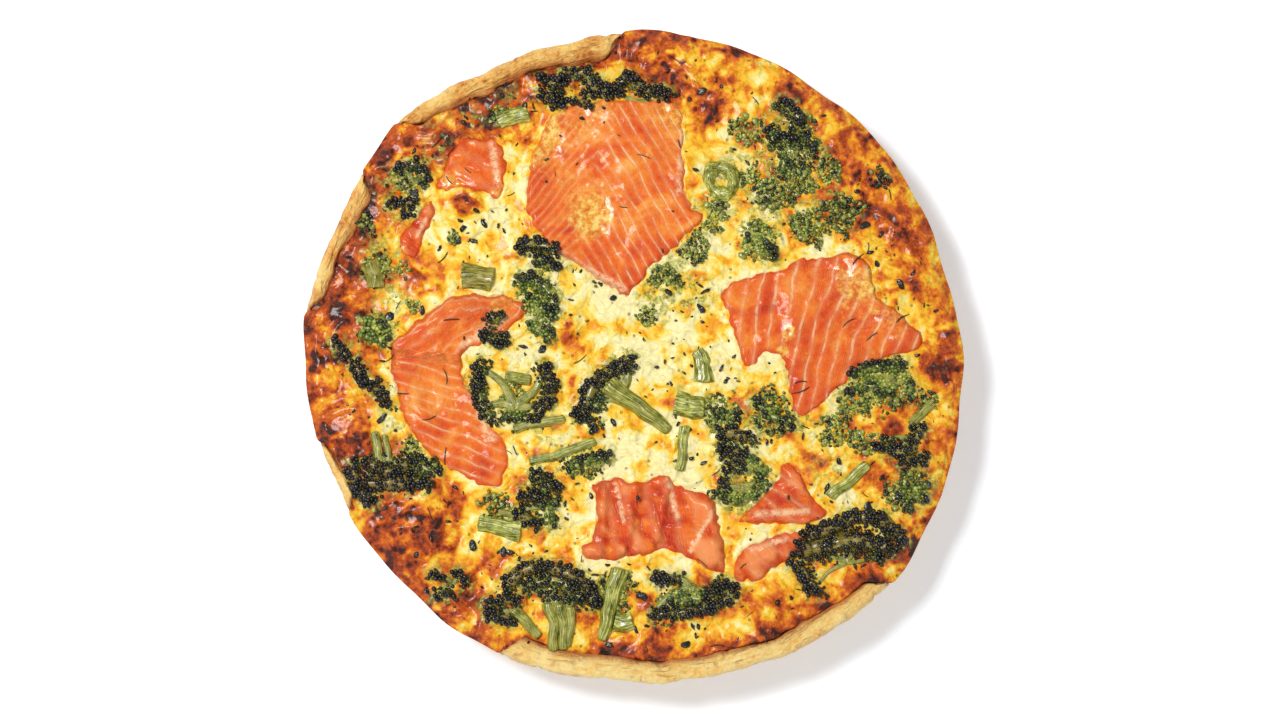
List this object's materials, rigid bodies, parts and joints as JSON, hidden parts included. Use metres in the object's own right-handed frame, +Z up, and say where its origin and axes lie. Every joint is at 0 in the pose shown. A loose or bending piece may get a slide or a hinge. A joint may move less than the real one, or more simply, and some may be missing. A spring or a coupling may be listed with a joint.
{
  "type": "quiche",
  "caption": "Whole round quiche with a rustic pastry case, browned egg filling run over part of the rim, folded salmon slices, broccoli florets and pieces of leek.",
  "frame": {"origin": "middle of the flat underside of the pastry case", "axes": "+Z up through the top of the filling, +Y away from the viewer, +X to the viewer's right"},
  "size_m": [0.2392, 0.238, 0.0404],
  "materials": {
    "crust": "dry baked shortcrust pastry, pale gold with browned edges",
    "filling": "baked egg custard, oily and glossy, cream in the hollows and browned on the swells",
    "salmon": "cooked salmon, moist, with pale fat lines",
    "floret": "roasted broccoli buds, dark green with scorched tips",
    "stalk": "cooked green stalk, moist and slightly clear",
    "leek": "soft cooked leek, moist and slightly clear"
  },
  "bodies": {
    "root": {"crust": "crust", "filling": "filling", "floret_bottom": "floret", "floret_bottom_left": "floret", "floret_bottom_left_small": "floret", "floret_burnt_low": "floret", "floret_centre": "floret", "floret_centre_low": "floret", "floret_frilly": "floret", "floret_left_burnt": "floret", "floret_left_crumb": "floret", "floret_left_dark": "floret", "floret_left_of_centre": "floret", "floret_left_pale": "floret", "floret_lower_left": "floret", "floret_lower_right": "floret", "floret_middle": "floret", "floret_middle_left": "floret", "floret_on_fold": "floret", "floret_right_edge": "floret", "floret_right_green": "floret", "floret_right_lower": "floret", "floret_right_of_centre": "floret", "floret_right_small": "floret", "floret_top_band": "floret", "floret_top_left": "floret", "floret_under_slice": "floret", "floret_upper_left": "floret", "floret_upper_left_burnt": "floret", "floret_upper_middle": "floret", "floret_upper_right": "floret", "leek_box": "leek", "leek_bulb": "leek", "leek_folded": "leek", "leek_leafy": "leek", "leek_ring": "leek", "leek_stems": "leek", "salmon_bottom_centre": "salmon", "salmon_left_folded": "salmon", "salmon_lower_right": "salmon", "salmon_lower_right_fold": "salmon", "salmon_right": "salmon", "salmon_top_centre": "salmon", "salmon_upper_left": "salmon", "salmon_upper_left_tail": "salmon", "stalk_bottom": "stalk", "stalk_centre": "stalk", "stalk_chunk": "stalk", "stalk_low_left": "stalk", "stalk_mid_left": "stalk", "stalk_right": "stalk", "stalk_right_edge": "stalk", "stalk_wedge": "stalk"}
  },
  "joints": []
}
